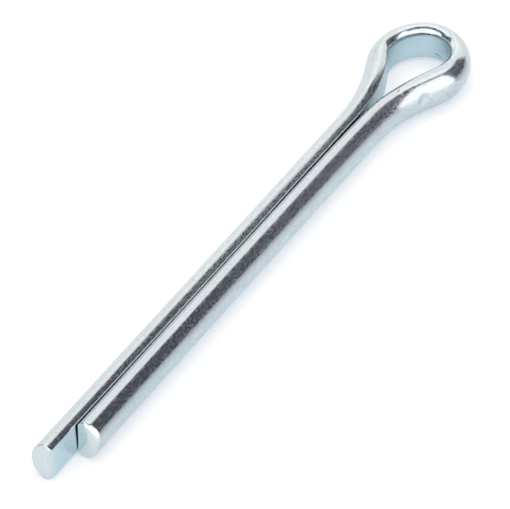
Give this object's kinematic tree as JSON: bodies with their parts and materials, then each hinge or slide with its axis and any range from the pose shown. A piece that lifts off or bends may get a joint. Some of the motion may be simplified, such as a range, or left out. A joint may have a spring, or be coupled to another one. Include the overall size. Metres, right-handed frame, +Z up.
{
  "type": "cotter pin",
  "caption": "Half-round steel wire folded flat to flat into a round split shank, with a pear-shaped eye and one leg longer than the other.",
  "frame": {"origin": "on the shank's axis at the neck, where both legs have become straight and the shank is round", "axes": "+X along the shank to the leg ends, +Y towards the shorter leg's side, +Z up through the eye's hole as the pin lies flat"},
  "size_m": [0.0688, 0.0096, 0.0042],
  "materials": {
    "zinc_plated_steel": "bright zinc plating with a fine speckle, glossy flats and worn leg ends"
  },
  "bodies": {
    "root": {"pin": "zinc_plated_steel"}
  },
  "joints": []
}
